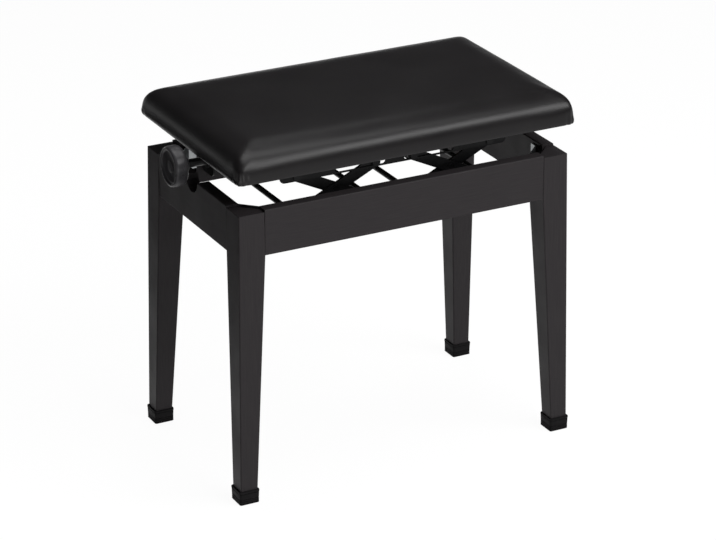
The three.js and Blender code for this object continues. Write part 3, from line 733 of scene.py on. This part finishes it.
def fold_corners(piece):
    """Presses pleats into the cover at its corners, deep at the hem and gone at the
    roll, and lets the roll waver a little."""
    arc = pad_corner * math.pi / 4
    for vertex in piece.data.vertices:
        x, y, z = vertex.co
        if z > pad_floor + waver_start:
            wave = noise.noise(Vector((x / (55 * mm), y / (55 * mm), z / (30 * mm))))
            vertex.co.z += wave * waver_height
        out_x = abs(x) - pad_half_x + pad_corner
        out_y = abs(y) - pad_half_y + pad_corner
        off_corner = max(out_x, out_y) < outer_face or min(out_x, out_y) < -pleats_reach
        if off_corner or z > pad_floor + pleats_end:
            continue
        if out_x > 0 and out_y > 0:
            inward = Vector((-out_x, -out_y, 0)).normalized()
            along = (math.atan2(out_y, out_x) - math.pi / 4) * pad_corner
        elif out_x > 0:
            inward, along = Vector((-1, 0, 0)), -arc + out_y
        else:
            inward, along = Vector((0, -1, 0)), arc - out_x
        inward = Vector((math.copysign(inward.x, -x), math.copysign(inward.y, -y), 0))
        depth = 0
        for place, deep, height in pleats:
            rest = max(0, 1 - (z - pad_floor) / (height * mm))
            depth += deep * rest ** 0.7 * math.exp(-(((along - place * mm) / pleat_width) ** 2))
        vertex.co += inward * depth * mm


def open_below(piece):
    """Cuts the room for the board, and leaves a hem turned in under its edge."""
    slack = 0.3 * mm
    hem_width = 20 * mm
    half_x = board_high[0] - hem_width
    half_y = board_high[1] - hem_width
    start_z = pad_floor - 5 * mm
    room = new_plate("room", half_x, half_y, start_z, 6.3 * mm)
    spread = -hem_width - slack
    below, above = board_low[2] - slack, board_high[2] + slack
    draw_up([(0, below), (spread, below), (spread, above)], half_x, half_y, start_z)
    done(room)
    pick_only(piece)
    hollow = piece.modifiers.new("hollow", "BOOLEAN")
    hollow.operation = "DIFFERENCE"
    hollow.object = room
    bpy.ops.object.modifier_apply(modifier="hollow")
    bpy.data.objects.remove(room)


pad = seat_pad()
fill_with_foam(pad)
smooth_cover(pad)
fold_corners(pad)
open_below(pad)
pad.data.materials.clear()
pad.data.materials.append(leatherette)
smooth(pad, 60)
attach(pad, "seat")
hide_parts("seat_cushion")


# Staples: bent from zinc-plated wire and shot through the cover's hem into the board,
# all round its underside, about 43 mm apart. Only their crowns show.
staple_crown = (11 * mm, 1.1 * mm, 0.7 * mm)
staple_edge_distance = 9 * mm
staple_pitch_x = 43 * mm
staple_pitch_y = 44 * mm


def one_staple():
    """The crown of a staple, a flat bar with soft edges, pressed into the cover."""
    deselect()
    bpy.ops.mesh.primitive_cube_add(size=1, location=(0, 0, 0))
    piece = bpy.context.object
    piece.scale = staple_crown
    bpy.ops.object.transform_apply(location=True, rotation=True, scale=True)
    edit(piece, "EDGE")
    bpy.ops.mesh.select_all(action="SELECT")
    bpy.ops.mesh.bevel(offset=0.25 * mm, segments=2, affect="EDGES")
    return smooth(done(piece), 50)


first_staple = one_staple()
first_staple.data.materials.append(zinc)
staple_line_x = board_high[0] - staple_edge_distance
staple_line_y = board_high[1] - staple_edge_distance
staple_z = pad_floor - 0.1 * mm
staple_places = []
for index in range(11):
    x = (index - 5) * staple_pitch_x
    staple_places += [((x, -staple_line_y, staple_z), 0), ((x, staple_line_y, staple_z), 0)]
for index in range(6):
    y = (index - 2.5) * staple_pitch_y
    staple_places += [((-staple_line_x, y, staple_z), 90), ((staple_line_x, y, staple_z), 90)]
staples = []
for index, (place, turn) in enumerate(staple_places):
    # Each is shot by hand, so it sits a little askew.
    askew_degrees = noise.noise(Vector((index * 1.7, 0.3, 0.9))) * 9
    staple = copy_of(first_staple, f"staple_{index}")
    staple.rotation_euler = (0, 0, math.radians(turn + askew_degrees))
    staples.append(move_to(staple, place))
bpy.data.objects.remove(first_staple)
deselect()
for staple in staples:
    staple.select_set(True)
bpy.context.view_layer.objects.active = staples[0]
bpy.ops.object.join()
hem_staples = staples[0]
hem_staples.name = "hem_staples"
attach(hem_staples, "seat")


# Floor: plain white paper under the bench, which turns up into a low round wall far
# away from it.
floor_radius = 4.9
wall_profile = ((5.25, 0.04), (5.5, 0.13), (5.65, 0.28), (5.7, 0.5))
white_share = 0.88
white_strength = 1.08


def white_floor():
    """Matt white paper, shown nearly white to the camera and in reflections. The rest
    of the share is the lit paper itself, so the bench's shadow stays."""
    material, tree, shader = new_material("white_floor")
    fill_in(tree, shader, {
        "Base Color": linear("#d2d2d2"), "Roughness": 0.9, "Specular IOR Level": 0.1})
    rays = add_node(tree, "ShaderNodeLightPath").outputs
    seen = add_node(tree, "ShaderNodeMath", {"operation": "MAXIMUM"}, {
        0: rays["Is Camera Ray"], 1: rays["Is Glossy Ray"]})
    seen = add_node(tree, "ShaderNodeMath", {"operation": "MAXIMUM"}, {
        0: seen.outputs[0], 1: rays["Is Transmission Ray"]})
    share = add_node(tree, "ShaderNodeMath", {"operation": "MULTIPLY"}, {
        0: seen.outputs[0], 1: white_share})
    white = add_node(tree, "ShaderNodeEmission", inputs={"Strength": white_strength})
    mix = add_node(tree, "ShaderNodeMixShader", inputs={
        0: share.outputs[0], 1: shader.outputs["BSDF"], 2: white.outputs["Emission"]})
    fill_in(tree, tree.nodes["Material Output"], {"Surface": mix.outputs["Shader"]})
    return material


deselect()
bpy.ops.mesh.primitive_circle_add(
    vertices=96, radius=floor_radius, fill_type="NGON", location=(0, 0, 0))
floor = bpy.context.object
floor.name = "floor"
edit(floor, "EDGE")
bpy.ops.mesh.select_all(action="SELECT")
bpy.ops.mesh.region_to_loop()
radius, z = floor_radius, 0
for next_radius, next_z in wall_profile:
    bpy.ops.mesh.extrude_edges_move(TRANSFORM_OT_translate={"value": (0, 0, next_z - z)})
    spread = next_radius / radius
    bpy.ops.transform.resize(value=(spread, spread, 1), center_override=(0, 0, next_z))
    radius, z = next_radius, next_z
bpy.ops.object.mode_set(mode="OBJECT")
smooth(floor, 80)
floor.data.materials.append(white_floor())


# Black cloth: a dark sheet flat on the floor at the left and behind the bench, which
# only reflections show. It paints a dark reflection on the bench's left side.
deselect()
bpy.ops.mesh.primitive_plane_add(size=2, location=(-1.55, 1.4, 0.002))
cloth = bpy.context.object
cloth.name = "dark_reflection_sheet"
cloth.scale = (1.05, 1.6, 1)
bpy.ops.object.transform_apply(location=True, rotation=True, scale=True)
dark, tree, shader = new_material("dark_reflection_sheet")
fill_in(tree, shader, {
    "Base Color": linear("#0c0c0c"), "Roughness": 0.9, "Specular IOR Level": 0.1})
cloth.data.materials.append(dark)
cloth.visible_camera = cloth.visible_diffuse = cloth.visible_shadow = False


# Light: a big soft lamp overhead, two long lamps in front and a small one behind, in a
# dim grey room.
def soft_lamp(name, place, aim, width, height, watts):
    """A flat lamp of a width and a height in metres that shines at its aim."""
    data = bpy.data.lights.new(name, "AREA")
    data.shape = "RECTANGLE"
    data.size = width
    data.size_y = height
    data.energy = watts
    lamp = bpy.data.objects.new(name, data)
    lamp.location = place
    direction = Vector(place) - Vector(aim)
    lamp.rotation_euler = direction.to_track_quat("Z", "Y").to_euler()
    lamp.visible_camera = False
    bpy.context.collection.objects.link(lamp)
    return lamp


soft_lamp("overhead", (0.2, 0.1, 2.7), (0, 0, 0.4), 2.0, 1.4, 34)
soft_lamp("front_high", (0.85, -1.35, 1.8), (0, -0.1, 0.49), 1.8, 0.7, 33)
soft_lamp("back_right", (0.8, 1.45, 2.05), (0, -0.13, 0.49), 0.5, 0.15, 1.0)
soft_lamp("front_low", (-0.4, -2.6, 0.35), (0, -0.1, 0.3), 1.0, 0.6, 12)

world = bpy.data.worlds.new("room")
world.use_nodes = True
world.node_tree.nodes["Background"].inputs["Color"].default_value = linear("#484849")
world.node_tree.nodes["Background"].inputs["Strength"].default_value = 1.0
bpy.context.scene.world = world
bpy.context.scene.view_settings.view_transform = "Standard"
